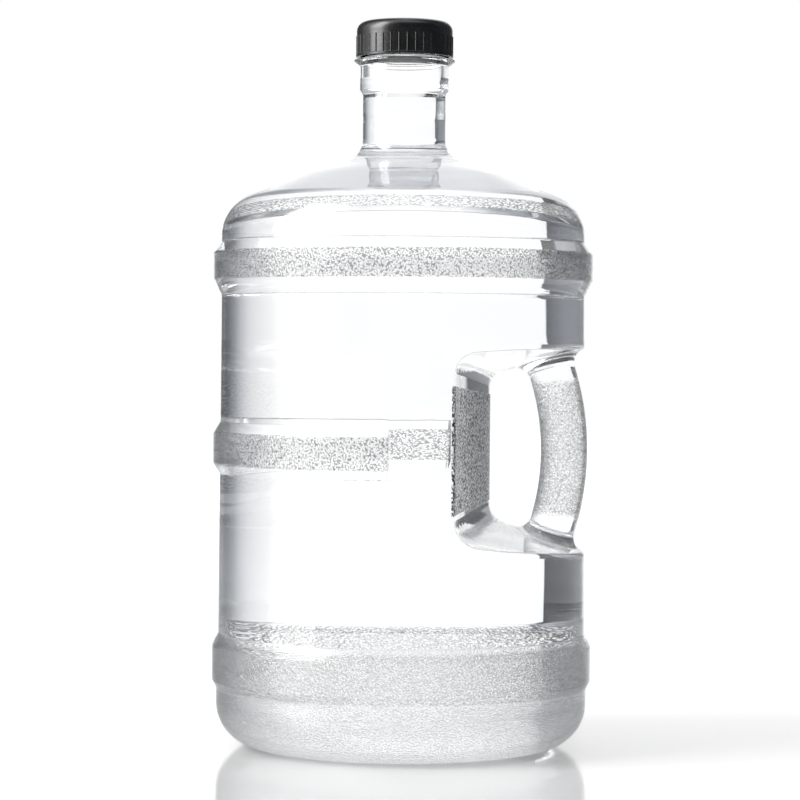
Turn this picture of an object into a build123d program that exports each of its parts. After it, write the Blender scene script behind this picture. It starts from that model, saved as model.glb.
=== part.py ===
from build123d import *
import os
from math import hypot

# A 5 gallon (18.9 litre) refillable water bottle with a moulded-in carrying handle, closed by a
# ribbed screw cap over a sealing disc. Millimetres, +Z up. The origin is the centre of the
# standing ring on the floor, and the handle is on the +X side.

os.makedirs("parts", exist_ok=True)

# ---- Driving dimensions: the bottle's body ----
band_r = 135.0             # radius over the raised bands, the bottle's widest place
body_top_r = 129.8         # the wall between the bands, just under the top band
body_low_r = 130.8         # the wall just over the bottom band
base_ring_r = 132.0        # the plain ring under the bottom band
base_round = 31.0          # rounding from the base ring into the floor
base_ring_top_z = 41.5
low_band_z = (47.5, 72.0)  # full-width heights of each band
mid_band_z = (201.5, 223.0)
top_band_z = (332.0, 350.5)
band_foot = 8.5            # height of the sloped shoulder at a band's edge
push_up = 13.0             # the hollow under the base
standing_r = 97.0          # inner edge of the flat ring that the bottle stands on
crown_r, crown_z = 72.0, 407.6
shoulder_z = 384.2         # where the crown's slope would meet the body wall
shoulder_round = 32.0
body_wall = 1.5
mid_band_end = 87.5        # degrees from the handle to each end of the middle band

# ---- Driving dimensions: neck, collar and finish ----
neck_r = 29.6
neck_root_z = 420.7
neck_bore_r = 26.5
collar_r = 31.8
collar_z = (467.0, 484.2)
flange_r = 36.0
flange_z = 488.0
finish_r = 29.4            # the root of the neck's thread
finish_z = (490.0, 512.6)

# ---- Driving dimensions: handle ----
hole_x = 62.6              # inner side of the finger hole, in the middle plane
hole_inner_z = (164.0, 264.5)      # floor and roof of the hole at its inner side
hole_rim_z = (140.5, 283.5)        # and at the body's radius
hole_round = (15.0, 10.0)  # rounding of its lower and upper corner
outer_y = 150.0            # the hand space widens to this distance, past the body's surface
outer_x = 43.9             # and there it has these sizes
outer_inner_z = (145.0, 285.5)
outer_rim_z = (134.0, 291.5)
outer_round = (22.0, 17.0)
waist_round = 12.0         # rounding of the hand space's waist
grip_mid_z = 211.5
grip_face_x = 132.2        # outermost point of the bowed grip
grip_bow_r = 199.0         # radius of the grip's outer face
grip_depth = 33.0          # size of the grip's section, inwards
grip_width = 36.0          # and along Y
hand_edge_round = 4.0
grip_root_round = 10.0

# ---- Driving dimensions: screw thread ----
pitch = 6.0
thread_turns = 1.75
thread_height = 1.7
thread_root, thread_crest = 2.6, 1.4
thread_gap = 0.4           # play between the two threads' loaded flanks
neck_thread_z = 496.0      # middle of the neck thread at its start

# ---- Driving dimensions: cap and sealing disc ----
cap_r = 34.2
cap_z = (490.5, 516.9)
cap_bore_r = 31.7
cap_top = 2.4
cap_round = 7.0
rib_count = 36
rib_r = 0.75
rib_out = 0.5              # how far the ribs stand out of the skirt
rib_z = (491.9, 505.4)
liner_r = 31.2
liner_thickness = 1.75
liner_gap = 0.1            # the disc's clearance to the bottle's rim and the cap's roof

on_base = (Align.CENTER, Align.CENTER, Align.MIN)


def outline(points, radii):
    """A closed face from corner points, each corner with its own rounding."""
    return make_face(FilletPolyline(*points, radius=radii, close=True))


def body_section():
    """Half of the bottle's section in XZ. It runs past the axis, so that insets stay true there."""
    past = -30.0
    low, top = low_band_z, top_band_z
    corners = [
        ((past, push_up), 0),
        ((standing_r - 25, push_up), 16),
        ((standing_r, 0), 5),
        ((base_ring_r, 0), base_round),
        ((base_ring_r, base_ring_top_z), 1.5),
        ((band_r, low[0]), 2),
        ((band_r, low[1]), 2.5),
        ((body_low_r, low[1] + band_foot), 3),
        ((body_top_r, top[0] - band_foot - 3), 3),
        ((band_r, top[0]), 2.5),
        ((band_r, top[1]), 2.5),
        ((body_top_r, top[1] + band_foot - 0.5), 3),
        ((body_top_r, shoulder_z), shoulder_round),
        ((crown_r, crown_z), 150),
        ((neck_r, neck_root_z), 15.3),
        ((neck_r, collar_z[0] - 3.5), 1.5),
        ((collar_r, collar_z[0]), 1.5),
        ((collar_r, collar_z[1]), 0.5),
        ((flange_r, flange_z - 0.6), 0.25),
        ((flange_r, flange_z + 0.4), 0.25),
        ((finish_r, finish_z[0]), 0.3),
        ((finish_r, finish_z[1]), 0.8),
        ((past, finish_z[1]), 0),
    ]
    return outline([point for point, _ in corners], [rounding for _, rounding in corners])


def half_plane(shape):
    """Keep what lies on the +X side of the axis."""
    return shape & Pos(250, 250) * Rectangle(500, 700)


def turned(section):
    """Revolve a section drawn in XZ about the bottle's axis, with its seam away from the handle."""
    return Rot(0, 0, 180) * revolve(Plane.XZ * section, Axis.Z)


def neck_trim():
    """Takes the inset section back to the neck's straight bore, which has a thicker wall."""
    low_z, high_z = neck_root_z - 6, neck_root_z + 30
    top_z = finish_z[1] + 20
    return make_face(Polyline((neck_bore_r, high_z), (neck_bore_r, top_z), (80, top_z),
                              (80, low_z), (neck_r + 8.5, low_z), close=True))


def middle_band(inset):
    """The raised band across the back, with sloped edges and sloped ends."""
    low_z, high_z = mid_band_z[0] - band_foot + inset / 2, mid_band_z[1] + band_foot - inset / 2
    inner_r = body_top_r - 12
    section = outline(
        [(inner_r, low_z), (body_top_r - inset + 0.01, low_z), (band_r - inset, mid_band_z[0]),
         (band_r - inset, mid_band_z[1]), (body_top_r - inset + 0.01, high_z), (inner_r, high_z)],
        [0, 0, 2.5, 2.5, 0, 0])
    sweep_angle = 360 - 2 * mid_band_end - inset / 2
    ring = revolve(Plane.XZ * section, Axis.Z, sweep_angle)
    return Rot(0, 0, mid_band_end + inset / 4) * ring


def hand_outline(distance, inset):
    """The hand space's outline at a distance from the middle plane: it is narrowest there."""
    waist = hypot(distance, waist_round) - waist_round
    share = waist / (hypot(outer_y, waist_round) - waist_round)

    def widened(at_waist, at_outer):
        return at_waist + (at_outer - at_waist) * share

    inner_x = widened(hole_x, outer_x)
    low_round, high_round = (widened(*ends) for ends in zip(hole_round, outer_round))
    low_z, high_z = (widened(*ends) for ends in zip(hole_inner_z, outer_inner_z))
    rim_low_z, rim_high_z = (widened(*ends) for ends in zip(hole_rim_z, outer_rim_z))
    past_rim = 1.35
    reach = (body_top_r - inner_x) * past_rim
    drop, rise = (rim_low_z - low_z) * past_rim, (rim_high_z - high_z) * past_rim
    start_x, low_z, high_z = inner_x - inset, low_z - inset, high_z + inset
    return outline([(start_x, low_z), (start_x + reach, low_z + drop), (start_x + reach, high_z + rise),
                    (start_x, high_z)], [low_round + inset, 0, 0, high_round + inset])


def hand_space(inset):
    """The finger hole and the pocket on each side of it, as one waisted solid."""
    distances = [-outer_y, -100, -60, -30, -12, 0, 12, 30, 60, 100, outer_y]
    return loft([Plane.XZ.offset(distance) * hand_outline(distance, inset) for distance in distances])


def grip(inset):
    """The bowed tube that the hand closes round, running on into the body at both ends."""
    path_r = grip_bow_r - grip_depth / 2
    centre_x = grip_face_x - grip_bow_r
    half_angle = 24.0
    path = Plane.XZ * (Pos(centre_x, grip_mid_z) * CenterArc((0, 0), path_r, -half_angle, 2 * half_angle))
    start = Plane(origin=path @ 0, x_dir=(0, 1, 0), z_dir=path % 0)
    return sweep(start * Ellipse(grip_width / 2 - inset, grip_depth / 2 - inset), path)


def hollow_body(inset):
    """The bottle's outer shape, or with an inset the space inside its wall."""
    section = body_section()
    if inset:
        section = offset(section, -inset) - neck_trim()
    shape = turned(half_plane(section)) + middle_band(inset)
    space = hand_space(inset)
    opened = shape - space
    opened = opened.fillet(hand_edge_round - inset, new_edges(shape, space, combined=opened))
    handle = grip(inset)
    joined = opened + handle
    return joined.fillet(grip_root_round + inset, new_edges(opened, handle, combined=joined))


def thread_ridge(wall_r, height, turns, middle_z, start_angle):
    """A right-hand thread ridge: height is positive outwards and negative inwards from the wall."""
    sink = 0.5 if height > 0 else -0.5
    helix = Helix(pitch, pitch * turns, wall_r)
    section_plane = Plane(origin=helix @ 0, x_dir=(1, 0, 0), z_dir=helix % 0)
    section = make_face(Polyline((-sink, -thread_root / 2), (0, -thread_root / 2),
                                 (height, -thread_crest / 2), (height, thread_crest / 2),
                                 (0, thread_root / 2), (-sink, thread_root / 2), close=True))
    ridge = sweep(section_plane * section, helix, is_frenet=True)
    return Pos(0, 0, middle_z) * Rot(0, 0, start_angle) * ridge


def bottle():
    """One moulded shell: the body, its bands, the hollow handle, and the neck with its thread."""
    neck_bore = Pos(0, 0, collar_z[0]) * Cylinder(neck_bore_r, 80, align=on_base)
    shell = hollow_body(0) - hollow_body(body_wall) - neck_bore
    return shell + thread_ridge(finish_r, thread_height, thread_turns, neck_thread_z, 0)


def cap_rib(index):
    """One upright rib on the cap's skirt, with rounded ends."""
    angle = 360 / rib_count * index
    low_z, high_z = rib_z
    bar = Pos(cap_r + rib_out - rib_r, 0, low_z) * Cylinder(rib_r, high_z - low_z, align=on_base)
    return Rot(0, 0, angle) * bar


def cap_shell():
    """The screw cap: a domed roof, a ribbed skirt, and a thread ridge inside it."""
    low_z, high_z = cap_z
    bore_top = high_z - cap_top
    section = outline(
        [(0, bore_top), (cap_bore_r, bore_top), (cap_bore_r, low_z), (cap_r + rib_out, low_z),
         (cap_r + rib_out, rib_z[0]), (cap_r, rib_z[0] + 0.5), (cap_r, high_z - 1.2), (0, high_z)],
        [0, 1, 0.3, 0.4, 0.2, 0.3, cap_round, 0])
    shell = turned(section)
    for index in range(rib_count):
        shell = shell + cap_rib(index)
    crest_at_middle = (thread_root + thread_crest) / 2
    drop = crest_at_middle + thread_gap
    return shell + thread_ridge(cap_bore_r, -thread_height, thread_turns, neck_thread_z - drop, 0)


def cap_liner():
    """The sealing disc between the cap's roof and the bottle's rim."""
    low_z = finish_z[1] + liner_gap
    disc = Cylinder(liner_r, liner_thickness, align=on_base)
    return Pos(0, 0, low_z) * fillet(disc.edges(), 0.3)


pieces = {"bottle": bottle, "cap_shell": cap_shell, "cap_liner": cap_liner}
for name, make in pieces.items():
    export_step(make(), f"parts/{name}.step")
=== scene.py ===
"""A large clear water jug, full of water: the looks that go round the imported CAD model."""
import math

import bmesh
import bpy
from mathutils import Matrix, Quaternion, Vector


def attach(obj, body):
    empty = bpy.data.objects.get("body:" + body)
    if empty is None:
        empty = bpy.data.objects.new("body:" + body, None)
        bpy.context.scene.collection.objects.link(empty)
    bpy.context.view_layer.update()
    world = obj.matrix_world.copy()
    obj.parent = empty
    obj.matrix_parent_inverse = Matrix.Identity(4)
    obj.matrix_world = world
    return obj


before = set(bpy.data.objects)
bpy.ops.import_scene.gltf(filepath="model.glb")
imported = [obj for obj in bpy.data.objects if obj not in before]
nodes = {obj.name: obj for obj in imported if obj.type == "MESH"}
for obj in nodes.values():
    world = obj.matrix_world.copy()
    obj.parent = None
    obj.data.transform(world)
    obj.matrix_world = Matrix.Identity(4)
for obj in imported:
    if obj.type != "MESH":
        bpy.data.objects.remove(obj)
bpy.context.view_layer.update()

MM = 0.001

# ---- Places on the bottle, as its design has them (metres) ----
BAND_R = 135 * MM
BANDS = ((47.5 * MM, 72 * MM), (201.5 * MM, 223 * MM), (332 * MM, 350.5 * MM))
BASE_GRAIN_TOP = 79 * MM
BASE_ROUND_R = 31 * MM                       # the rounding from the base ring into the floor
BASE_ROUND_CENTRE_R = 101 * MM
WALL = 1.5 * MM
HOLE_X = 62.6 * MM                           # the finger hole's inner side
WAIST_ROUND = 12 * MM
PANEL_LEAN = -18.7 / 138.5                   # the pocket's inner wall, in X for a step outwards
PANEL_Z_AT_HOLE = (175.5 * MM, 251.5 * MM)   # the grained panel's lower and upper edge at the hole
PANEL_FLARE = (-0.05, 0.062)                 # and how they spread for a step outwards
PANEL_REACH = 2.5 * MM                       # how far off the inner wall its grain may lie
GRIP_Z = (164 * MM, 262 * MM)                # the grained length of the grip
GRIP_MID_Z = 211.5 * MM
GRIP_CENTRE_X = -66.8 * MM                   # the centre and radius of the grip's bow
GRIP_PATH_R = 182.5 * MM
GRIP_HALF = (16.5 * MM, 18 * MM)             # half of its section: along the radius and along Y
GRIP_MIN_X = 85 * MM
WATER_LEVEL = 475.5 * MM
WATER_OVERLAP = 0.3 * MM                     # how far the water reaches into the plastic

# ---- Clear plastic ----
CLEAR_TINT = (0.992, 0.995, 0.998, 1)
# The grain's grooves are painted near black. This is painted shade, for the grey speckle that light
# scattered by the grain gives.
GROOVE_SHADE = (0.004, 0.004, 0.005, 1)
PLASTIC_IOR = 1.58
PANEL_GROOVE_SHADE, BAND_GROOVE_SHADE, BASE_GROOVE_SHADE, GRIP_GROOVE_SHADE = 1.0, 0.8, 0.34, 0.55    # how dark the painted shade in the grooves is
FINE_ROUGHNESS, COARSE_ROUGHNESS = 0.08, 0.28
FINE_GRAIN, COARSE_GRAIN = 850.0, 620.0                                   # pebbles per metre
FINE_PEBBLE, COARSE_PEBBLE = (0.72, 0.4), (0.6, 0.46)    # a groove's and a pebble's edge, in cells
FINE_RELIEF, COARSE_RELIEF = 0.15 * MM, 1.2 * MM
GRAIN_WANDER = 300.0                                     # scale of what bends the grain's cells
WAVE_SCALE, WAVE_RELIEF = 9.0, 0.25 * MM                 # slow waves of the blown wall
SCUFF_SCALE, SCUFF_THRESHOLD, SCUFF_ROUGHNESS = 55.0, 0.62, 0.12

# ---- Water ----
WATER_TINT = (0.996, 0.999, 1, 1)
WATER_IOR = 1.333
RIPPLE_SCALE, RIPPLE_RELIEF = 60.0, 0.2 * MM

# ---- Cap and sealing disc ----
BLACKS = ((0.35, (0.006, 0.006, 0.0065, 1)), (0.75, (0.013, 0.0125, 0.012, 1)))
CAP_ROUGHNESS = (0.2, 0.3)
CAP_GLOSS = 0.85
CLOUD_SCALE = 90.0
GRIT_SCALE, GRIT_RELIEF = 2600.0, 0.04 * MM
# The foam's colour is darker towards each cell's middle, where its bump sinks. This is painted shade in
# the cells' hollows.
FOAM_TONES = ((0.0, (0.72, 0.72, 0.69, 1)), (1.0, (0.86, 0.86, 0.84, 1)))
FOAM_CELLS, FOAM_RELIEF = 1100.0, 0.2 * MM
FOAM_ROUGHNESS = 0.75

# ---- The room's tones, by bearing and height in degrees. Bearing 0 is +X and 90 is behind the jug ----
# The backdrop's tone by bearing: it fades to the right and ends sharply at the left.
BACKDROP = ((36, 0.12), (46, 0.2), (53, 0.42), (58, 0.68), (64, 0.84), (72, 1.04), (80, 1.25), (116, 1.25),
            (124.6, 1.2), (125, 0.13), (134, 0.27), (150, 0.33), (162, 0.75), (178, 0.8))
# Its edges shift to the right away from one height: from the first distance on, and fully at the second.
SHIFT_HEIGHT, SHIFT_DISTANCES, SHIFT = -2.0, (2.0, 6.0), 1.7
# A part of the room is a tone and its fades: by bearing or height, from none of the part at the first
# value to all of it at the second. Each part covers the ones before it.
LEFT_WALL = (("bearing", 124.6, 125.0), ("bearing", 168.0, 150.0))
BELOW = ("height", -20.0, -28.0)
SOFTBOX = (("bearing", -174.0, -166.0), ("bearing", -134.0, -140.0),
           ("height", -5.0, 2.0), ("height", 62.0, 55.0))
ROOM_PARTS = (
    (0.8, ("bearing", 0.0, -1.0)),                                          # the camera's half
    (0.04, *LEFT_WALL, ("height", -3.9, -4.2)),                             # the left wall's foot
    (0.5, *LEFT_WALL, ("bearing", 130.0, 132.0), ("height", -9.0, -11.0)),  # and what lies under it
    (1.3, ("height", 17.0, 25.0)),                                          # overhead
    (0.62, BELOW),                                                          # seen through the floor
    (0.42, BELOW, ("bearing", 84.0, 70.0)),                                 # and to the right there
    (0.42, BELOW, ("bearing", 110.0, 122.0)),                               # and to the left there
    (0.95, ("height", -34.0, -44.0)),                                       # straight down
    (0.1, ("bearing", -132.0, -118.0), ("bearing", 42.0, 5.0),
     ("height", 72.0, 50.0), ("height", -6.0, -3.0)),                       # the dark front
    (1.2, *SOFTBOX),
    (8.0, *SOFTBOX, ("height", 3.8, 5.5)),                                  # all but the softbox's foot
)
# Mirror reflections see only the backdrop's middle. To them its right and left sides, given by their
# fades by bearing, have this tone.
MIRRORED_TONE = 0.12
MIRRORED_SIDES = (((0.0, 30.0), (82.0, 74.0)), ((168.0, 150.0), (108.0, 114.0)))
DARK_HUE, LIGHT_HUE = (0.8, 0.88, 1, 1), (1, 1, 1, 1)    # the light's colour at tone 0, and from 1 up

# ---- Floor ----
FLOOR_HALF = 8.0
FLOOR_DROP = 0.05 * MM       # it lies this far under the standing ring
FLOOR_TONE = 0.7
FLOOR_ROUGHNESS = (0.08, 0.11)
FLOOR_GLOW = 0.08            # brings it up to the backdrop's white for the camera
FLOOR_NOISE = 4.0

# ---- Camera ----
VIEW_AZIMUTH = math.radians(6.5)
CAMERA_DISTANCE = 2.08
EYE_HEIGHT = 0.282
LENS_MM = 131
SENSOR_MM = 36
CLIP_END = 50
CAMERA_PITCH = math.radians(0.98)
CAMERA_YAW = math.radians(0.05)
CAMERA_ROLL = math.radians(0.36)


# ---------------------------------------------------------------- node helpers
def add(tree, kind, inputs=None, **settings):
    """Adds a shader node. Inputs are values or the sockets that feed them."""
    node = tree.nodes.new(kind)
    for name, value in settings.items():
        setattr(node, name, value)
    for key, value in (inputs or {}).items():
        socket = node.inputs[key]
        if isinstance(value, bpy.types.NodeSocket):
            tree.links.new(value, socket)
        else:
            socket.default_value = value
    return node


def calc(tree, operation, *values, clamp=False):
    """One Math node, given as its operation and its inputs."""
    inputs = dict(enumerate(values))
    return add(tree, "ShaderNodeMath", inputs, operation=operation, use_clamp=clamp).outputs[0]


def times(tree, *factors):
    """The product of several values."""
    result = factors[0]
    for factor in factors[1:]:
        result = calc(tree, "MULTIPLY", result, factor)
    return result


def either(tree, *masks):
    """The union of several masks, or the largest of several values."""
    result = masks[0]
    for mask in masks[1:]:
        result = calc(tree, "MAXIMUM", result, mask)
    return result


def length(tree, first, second):
    """The length of the vector with these two components."""
    squares = calc(tree, "ADD", times(tree, first, first), times(tree, second, second))
    return calc(tree, "SQRT", squares)


def between(tree, value, low, high, soft=0.4 * MM):
    """1 where the value lies from low to high, with soft edges."""
    rise = calc(tree, "DIVIDE", calc(tree, "SUBTRACT", value, low), soft, clamp=True)
    fall = calc(tree, "DIVIDE", calc(tree, "SUBTRACT", high, value), soft, clamp=True)
    return calc(tree, "MULTIPLY", rise, fall)


def fade(tree, value, start, end):
    """0 at the start value, changing smoothly to 1 at the end value."""
    return add(tree, "ShaderNodeMapRange", {"Value": value, "From Min": start, "From Max": end},
               interpolation_type="SMOOTHSTEP").outputs[0]


def toward(tree, tone, other, share):
    """The tone moved towards another tone by a share."""
    step = calc(tree, "MULTIPLY", calc(tree, "SUBTRACT", other, tone), share)
    return calc(tree, "ADD", tone, step)


def noise(tree, vector, scale, detail):
    """Cloudy noise from 0 to 1."""
    node = add(tree, "ShaderNodeTexNoise", {"Vector": vector, "Scale": scale, "Detail": detail})
    return node.outputs["Fac"]


def bump(tree, height, strength, relief, under=None):
    """The normal that a height gives, over the normal of another bump if there is one."""
    inputs = {"Height": height, "Strength": strength, "Distance": relief}
    if under is not None:
        inputs["Normal"] = under
    return add(tree, "ShaderNodeBump", inputs).outputs[0]


def colour_mix(tree, share, first, second):
    """A colour between two: the first at share 0 and the second at share 1."""
    node = add(tree, "ShaderNodeMix", {0: share}, data_type="RGBA")
    sockets = [socket for socket in node.inputs if socket.type == "RGBA"]
    sockets[0].default_value = first
    sockets[1].default_value = second
    return node.outputs[2]


def colour_ramp(tree, value, stops):
    """The colour for a value from 0 to 1. Each stop is a value and its colour."""
    node = add(tree, "ShaderNodeValToRGB", {"Fac": value})
    elements = node.color_ramp.elements
    for element, (position, colour) in zip(elements, (stops[0], stops[-1])):
        element.position = position
        element.color = colour
    for position, colour in stops[1:-1]:
        elements.new(position).color = colour
    return node.outputs[0]


def object_vector(tree):
    """The point in the object's own frame."""
    return add(tree, "ShaderNodeTexCoord").outputs["Object"]


def place(tree):
    """The point in the object's own frame: its vector, x, y, z and distance from the axis."""
    vector = object_vector(tree)
    x, y, z = add(tree, "ShaderNodeSeparateXYZ", {0: vector}).outputs
    return vector, x, y, z, length(tree, x, y)


def new_material(name):
    """A material with its node tree and its Principled shader."""
    material = bpy.data.materials.new(name)
    material.use_nodes = True
    tree = material.node_tree
    return material, tree, tree.nodes["Principled BSDF"]


# ---------------------------------------------------------------- clear plastic
def band_mask(tree, z, radius):
    """The upright outer faces of the raised bands."""
    outside = calc(tree, "GREATER_THAN", radius, BAND_R - WALL / 2)
    faces = [between(tree, z, low - 1 * MM, high + 1 * MM) for low, high in BANDS]
    return calc(tree, "MULTIPLY", outside, either(tree, *faces))


def base_mask(tree, z, radius):
    """The bottom band, the ring under it and the rounding down to the floor, outside only."""
    under = calc(tree, "MINIMUM", calc(tree, "SUBTRACT", z, BASE_ROUND_R), 0.0)
    out = calc(tree, "SUBTRACT", radius, BASE_ROUND_CENTRE_R)
    outside = calc(tree, "GREATER_THAN", length(tree, under, out), BASE_ROUND_R - WALL / 2)
    beyond_foot = calc(tree, "GREATER_THAN", radius, BASE_ROUND_CENTRE_R)
    low = between(tree, z, -1 * MM, BASE_GRAIN_TOP, 2 * MM)
    return times(tree, outside, low, beyond_foot)


def panel_mask(tree, x, y, z):
    """The grained panel on the inner wall of each finger pocket, narrower at the hole."""
    out = calc(tree, "SUBTRACT", length(tree, y, WAIST_ROUND), WAIST_ROUND)
    wall_x = calc(tree, "ADD", calc(tree, "MULTIPLY", out, PANEL_LEAN), HOLE_X)
    on_wall = between(tree, calc(tree, "SUBTRACT", x, wall_x), -WALL / 2, PANEL_REACH)
    low, high = (calc(tree, "ADD", calc(tree, "MULTIPLY", out, flare), at_hole)
                 for at_hole, flare in zip(PANEL_Z_AT_HOLE, PANEL_FLARE))
    return calc(tree, "MULTIPLY", on_wall, between(tree, z, low, high))


def grip_mask(tree, x, y, z):
    """The grained outside of the bowed grip, short of its smooth ends."""
    along_x = calc(tree, "SUBTRACT", x, GRIP_CENTRE_X)
    along_z = calc(tree, "SUBTRACT", z, GRIP_MID_Z)
    bow_r = length(tree, along_x, along_z)
    deep = calc(tree, "DIVIDE", calc(tree, "SUBTRACT", bow_r, GRIP_PATH_R), GRIP_HALF[0])
    wide = calc(tree, "DIVIDE", y, GRIP_HALF[1])
    section = calc(tree, "ADD", calc(tree, "MULTIPLY", deep, deep), calc(tree, "MULTIPLY", wide, wide))
    outside = between(tree, section, 0.92, 1.15, 0.02)
    near_grip = calc(tree, "GREATER_THAN", x, GRIP_MIN_X)
    in_height = between(tree, z, GRIP_Z[0], GRIP_Z[1], 4 * MM)
    return times(tree, outside, near_grip, in_height)


def pebble_grain(tree, vector, scale, pebble):
    """The height of a fine moulded pebble grain, from 0 in its grooves to 1 on the pebbles."""
    wander = add(tree, "ShaderNodeTexNoise", {"Vector": vector, "Scale": GRAIN_WANDER, "Detail": 2.0})
    bend = add(tree, "ShaderNodeVectorMath", {0: wander.outputs["Color"], "Scale": 1.0 / scale},
               operation="SCALE")
    moved = add(tree, "ShaderNodeVectorMath", {0: vector, 1: bend.outputs[0]}, operation="ADD")
    cells = add(tree, "ShaderNodeTexVoronoi", {"Vector": moved.outputs[0], "Scale": scale}, feature="F1")
    return fade(tree, cells.outputs["Distance"], *pebble)


def clear_polycarbonate():
    """Clear plastic with slow waves and scuffs. In places it has a moulded grain, and its grooves get
    painted shade: they are darkened in its colour.
    """
    material, tree, shader = new_material("clear_polycarbonate")
    vector, x, y, z, radius = place(tree)
    base, bands = base_mask(tree, z, radius), band_mask(tree, z, radius)
    panel, on_grip = panel_mask(tree, x, y, z), grip_mask(tree, x, y, z)
    fine_places = either(tree, base, bands, on_grip)
    fine = pebble_grain(tree, vector, FINE_GRAIN, FINE_PEBBLE)
    coarse = pebble_grain(tree, vector, COARSE_GRAIN, COARSE_PEBBLE)

    waves = bump(tree, noise(tree, vector, WAVE_SCALE, 2.0), 1.0, WAVE_RELIEF)
    fine_bump = bump(tree, fine, fine_places, FINE_RELIEF, waves)
    grain = bump(tree, coarse, panel, COARSE_RELIEF, fine_bump)

    scuffs = noise(tree, vector, SCUFF_SCALE, 6.0)
    worn = calc(tree, "SUBTRACT", scuffs, SCUFF_THRESHOLD, clamp=True)
    grain_roughness = either(tree, times(tree, fine_places, FINE_ROUGHNESS),
                             times(tree, panel, COARSE_ROUGHNESS))
    rough = calc(tree, "ADD", times(tree, worn, SCUFF_ROUGHNESS), grain_roughness)

    over_base = calc(tree, "GREATER_THAN", z, BASE_GRAIN_TOP)
    # Painted shade: the grain's grooves are darkened in the base colour, by these amounts at each place.
    groove_shade_depth = either(tree, times(tree, base, BASE_GROOVE_SHADE), times(tree, on_grip, GRIP_GROOVE_SHADE),
                   times(tree, bands, BAND_GROOVE_SHADE, over_base))
    groove_shade_share = either(tree, times(tree, calc(tree, "SUBTRACT", 1.0, fine), groove_shade_depth),
                    times(tree, calc(tree, "SUBTRACT", 1.0, coarse), panel, PANEL_GROOVE_SHADE))

    tree.links.new(colour_mix(tree, groove_shade_share, CLEAR_TINT, GROOVE_SHADE), shader.inputs["Base Color"])
    tree.links.new(rough, shader.inputs["Roughness"])
    tree.links.new(grain, shader.inputs["Normal"])
    shader.inputs["Transmission Weight"].default_value = 1
    shader.inputs["IOR"].default_value = PLASTIC_IOR
    return material


# ---------------------------------------------------------------- water
def clear_water():
    """Water, with faint ripples on its top only."""
    material, tree, shader = new_material("clear_water")
    vector, _, _, z, _ = place(tree)
    on_top = calc(tree, "GREATER_THAN", z, WATER_LEVEL - 0.1 * MM)
    ripples = bump(tree, noise(tree, vector, RIPPLE_SCALE, 1.0), on_top, RIPPLE_RELIEF)
    tree.links.new(ripples, shader.inputs["Normal"])
    shader.inputs["Base Color"].default_value = WATER_TINT
    shader.inputs["Roughness"].default_value = 0
    shader.inputs["Transmission Weight"].default_value = 1
    shader.inputs["IOR"].default_value = WATER_IOR
    return material


def corner_normals(mesh):
    """Each face corner's own normal, by face and by vertex."""
    normals = {}
    for polygon in mesh.polygons:
        for loop_index in polygon.loop_indices:
            vertex = mesh.loops[loop_index].vertex_index
            normals[polygon.index, vertex] = mesh.corner_normals[loop_index].vector.copy()
    return normals


def cavity_sheet(work, level):
    """Cuts the bottle's skin at the water level and returns the faces of the inner sheet."""
    bmesh.ops.bisect_plane(work, geom=work.verts[:] + work.edges[:] + work.faces[:], dist=1e-7,
                           plane_co=(0, 0, level), plane_no=(0, 0, 1), clear_outer=True)
    rim = [edge for edge in work.edges if edge.is_boundary]
    start = min(rim, key=lambda edge: edge.verts[0].co.to_2d().length)
    found = {start.link_faces[0]}
    queue = list(found)
    while queue:
        for edge in queue.pop().edges:
            for face in edge.link_faces:
                if face not in found:
                    found.add(face)
                    queue.append(face)
    return found


def push_into_wall(work, corner):
    """Moves the sheet along its normals into the plastic. Its rim stays at the water level."""
    for vertex in work.verts:
        out = Vector((0, 0, 0))
        for loop in vertex.link_loops:
            out -= loop[corner]
        step = out.normalized() * WATER_OVERLAP
        if vertex.co.z > WATER_LEVEL - 1e-5:
            step.z = 0
        vertex.co += step


def close_top(work, corner):
    """Closes the sheet's rim with a flat face that looks up."""
    rim = [edge for edge in work.edges if edge.is_boundary]
    for face in bmesh.ops.contextual_create(work, geom=rim)["faces"]:
        if face.normal.z < 0:
            face.normal_flip()
        for loop in face.loops:
            loop[corner] = Vector((0, 0, 1))


def water_mesh():
    """The bottle's inner skin up to the water level, turned outwards, with its smooth normals."""
    source = nodes["bottle"].data
    normals = corner_normals(source)
    work = bmesh.new()
    work.from_mesh(source)
    corner = work.loops.layers.float_vector.new("corner")
    for face in work.faces:
        for loop in face.loops:
            loop[corner] = normals[face.index, loop.vert.index]
    bmesh.ops.remove_doubles(work, verts=work.verts, dist=1e-6)
    inner = cavity_sheet(work, WATER_LEVEL)
    bmesh.ops.delete(work, geom=[face for face in work.faces if face not in inner], context="FACES")
    for face in work.faces:
        for loop in face.loops:
            if loop[corner].length < 0.5:
                loop[corner] = face.normal
    push_into_wall(work, corner)
    bmesh.ops.reverse_faces(work, faces=work.faces[:])
    for face in work.faces:
        for loop in face.loops:
            loop[corner] = -loop[corner].normalized()
    close_top(work, corner)
    mesh = bpy.data.meshes.new("water_fill")
    work.to_mesh(mesh)
    work.free()
    directions = [item.vector.copy() for item in mesh.attributes["corner"].data]
    mesh.shade_smooth()
    mesh.normals_split_custom_set(directions)
    mesh.attributes.remove(mesh.attributes["corner"])
    return mesh


def water_fill():
    """The water, which rides on the bottle."""
    piece = bpy.data.objects.new("water_fill", water_mesh())
    bpy.context.scene.collection.objects.link(piece)
    piece.data.materials.append(clear_water())
    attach(piece, "bottle")


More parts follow.
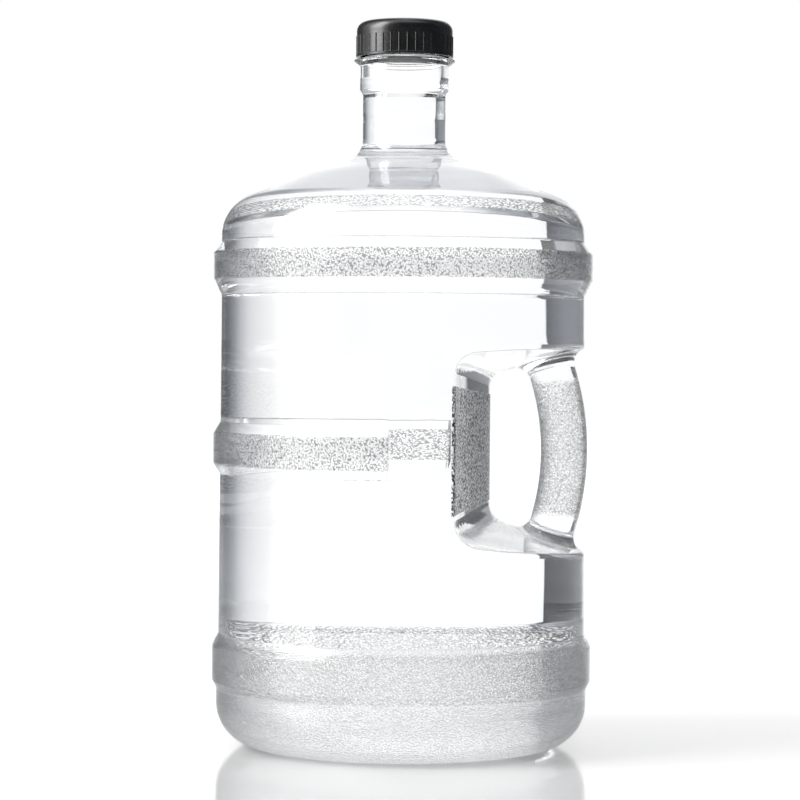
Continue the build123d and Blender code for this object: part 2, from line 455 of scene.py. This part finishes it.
# ---------------------------------------------------------------- cap and disc
def black_plastic():
    """Slightly cloudy black plastic with a fine grit."""
    material, tree, shader = new_material("black_plastic")
    vector = object_vector(tree)
    cloud = noise(tree, vector, CLOUD_SCALE, 5.0)
    low, high = CAP_ROUGHNESS
    rough = add(tree, "ShaderNodeMapRange", {"Value": cloud, "From Min": 0.3, "From Max": 0.7,
                                             "To Min": low, "To Max": high})
    grit = bump(tree, noise(tree, vector, GRIT_SCALE, 2.0), 0.5, GRIT_RELIEF)
    tree.links.new(colour_ramp(tree, cloud, BLACKS), shader.inputs["Base Color"])
    tree.links.new(rough.outputs[0], shader.inputs["Roughness"])
    tree.links.new(grit, shader.inputs["Normal"])
    shader.inputs["Specular IOR Level"].default_value = CAP_GLOSS
    return material


def foam():
    """Pale foam with small cells, and painted shade in their hollows."""
    material, tree, shader = new_material("foam")
    cells = add(tree, "ShaderNodeTexVoronoi", {"Vector": object_vector(tree), "Scale": FOAM_CELLS})
    distance = cells.outputs["Distance"]
    # Painted shade: the same distance that shapes the bump darkens the cells' hollows.
    tree.links.new(colour_ramp(tree, distance, FOAM_TONES), shader.inputs["Base Color"])
    tree.links.new(bump(tree, distance, 0.6, FOAM_RELIEF), shader.inputs["Normal"])
    shader.inputs["Roughness"].default_value = FOAM_ROUGHNESS
    return material


def dress(node_name, material):
    """Gives a CAD node its finished material."""
    for slot in nodes[node_name].material_slots:
        slot.material = material


# ---------------------------------------------------------------- studio
def room_tone(tree, bearing, height):
    """The room's tone: the backdrop, then the other parts over it."""
    axes = {"bearing": bearing, "height": height}
    stops = [(angle / 180, (level, level, level, 1)) for angle, level in BACKDROP]
    tone = colour_ramp(tree, calc(tree, "DIVIDE", bearing, 180.0), stops)
    for level, *fades in ROOM_PARTS:
        share = times(tree, *(fade(tree, axes[axis], start, end) for axis, start, end in fades))
        tone = toward(tree, tone, level, share)
    return tone


def studio_world():
    """The room round the jug. Refracted light and the floor's light come from all of it, mirror
    reflections see darker sides, and the camera itself sees only white."""
    world = bpy.data.worlds.new("studio")
    world.use_nodes = True
    bpy.context.scene.world = world
    tree = world.node_tree
    tree.nodes.clear()
    vector = add(tree, "ShaderNodeTexCoord").outputs["Generated"]
    x, y, z = add(tree, "ShaderNodeSeparateXYZ", {0: vector}).outputs
    height = calc(tree, "DEGREES", calc(tree, "ARCSINE", z))
    off_middle = calc(tree, "ABSOLUTE", calc(tree, "SUBTRACT", height, SHIFT_HEIGHT))
    shift = times(tree, fade(tree, off_middle, *SHIFT_DISTANCES), SHIFT)
    bearing = calc(tree, "ADD", calc(tree, "DEGREES", calc(tree, "ARCTAN2", y, x)), shift)
    tone = room_tone(tree, bearing, height)
    hue = colour_mix(tree, calc(tree, "MULTIPLY", tone, 1.0, clamp=True), DARK_HUE, LIGHT_HUE)

    path = add(tree, "ShaderNodeLightPath")
    for fades in MIRRORED_SIDES:
        side = times(tree, *(fade(tree, bearing, start, end) for start, end in fades))
        mirrored = times(tree, path.outputs["Is Reflection Ray"], side)
        tone = toward(tree, tone, MIRRORED_TONE, mirrored)
    around = add(tree, "ShaderNodeBackground", {"Color": hue, "Strength": tone})
    seen = add(tree, "ShaderNodeBackground", {"Color": (1, 1, 1, 1), "Strength": 1.0})
    mixed = add(tree, "ShaderNodeMixShader", {0: path.outputs["Is Camera Ray"], 1: around.outputs[0],
                                              2: seen.outputs[0]})
    add(tree, "ShaderNodeOutputWorld", {"Surface": mixed.outputs[0]})


def floor():
    """A white floor, a little glossy. What the jug refracts passes through it, to the room below."""
    half = FLOOR_HALF
    corners = [(-half, -half, 0), (half, -half, 0), (half, half, 0), (-half, half, 0)]
    mesh = bpy.data.meshes.new("floor")
    mesh.from_pydata(corners, [], [(0, 1, 2, 3)])
    piece = bpy.data.objects.new("floor", mesh)
    bpy.context.scene.collection.objects.link(piece)
    material, tree, shader = new_material("white_floor")
    faint = noise(tree, object_vector(tree), FLOOR_NOISE, 2.0)
    low, high = FLOOR_ROUGHNESS
    rough = add(tree, "ShaderNodeMapRange", {"Value": faint, "To Min": low, "To Max": high})
    path = add(tree, "ShaderNodeLightPath")
    glow = calc(tree, "MULTIPLY", path.outputs["Is Camera Ray"], FLOOR_GLOW)
    tree.links.new(rough.outputs[0], shader.inputs["Roughness"])
    tree.links.new(glow, shader.inputs["Emission Strength"])
    shader.inputs["Base Color"].default_value = (FLOOR_TONE, FLOOR_TONE, FLOOR_TONE, 1)
    shader.inputs["Emission Color"].default_value = (1, 1, 1, 1)
    through = add(tree, "ShaderNodeBsdfTransparent")
    mixed = add(tree, "ShaderNodeMixShader", {0: path.outputs["Is Transmission Ray"], 1: shader.outputs[0],
                                              2: through.outputs[0]})
    tree.links.new(mixed.outputs[0], tree.nodes["Material Output"].inputs["Surface"])
    piece.data.materials.append(material)
    piece.location.z = -FLOOR_DROP


def camera():
    """A long lens from a little to the right of -Y, just above the jug's middle."""
    data = bpy.data.cameras.new("camera")
    data.lens = LENS_MM
    data.sensor_width = SENSOR_MM
    data.clip_end = CLIP_END
    piece = bpy.data.objects.new("camera", data)
    bpy.context.scene.collection.objects.link(piece)
    piece.location = (CAMERA_DISTANCE * math.sin(VIEW_AZIMUTH),
                      -CAMERA_DISTANCE * math.cos(VIEW_AZIMUTH), EYE_HEIGHT)
    heading = VIEW_AZIMUTH + CAMERA_YAW
    forward = Vector((-math.sin(heading), math.cos(heading), -math.tan(CAMERA_PITCH)))
    piece.rotation_mode = "QUATERNION"
    piece.rotation_quaternion = forward.to_track_quat("-Z", "Y") @ Quaternion((0, 0, 1), CAMERA_ROLL)
    bpy.context.scene.camera = piece


def picture_settings():
    """Plain colours, and enough bounces for light to cross both walls and the water."""
    scene = bpy.context.scene
    scene.view_settings.view_transform = "Standard"
    scene.cycles.max_bounces = 32
    scene.cycles.transmission_bounces = 28
    scene.cycles.glossy_bounces = 12
    scene.cycles.use_denoising = True


camera()
studio_world()
floor()
dress("bottle", clear_polycarbonate())
dress("cap_shell", black_plastic())
dress("cap_liner", foam())
water_fill()
picture_settings()
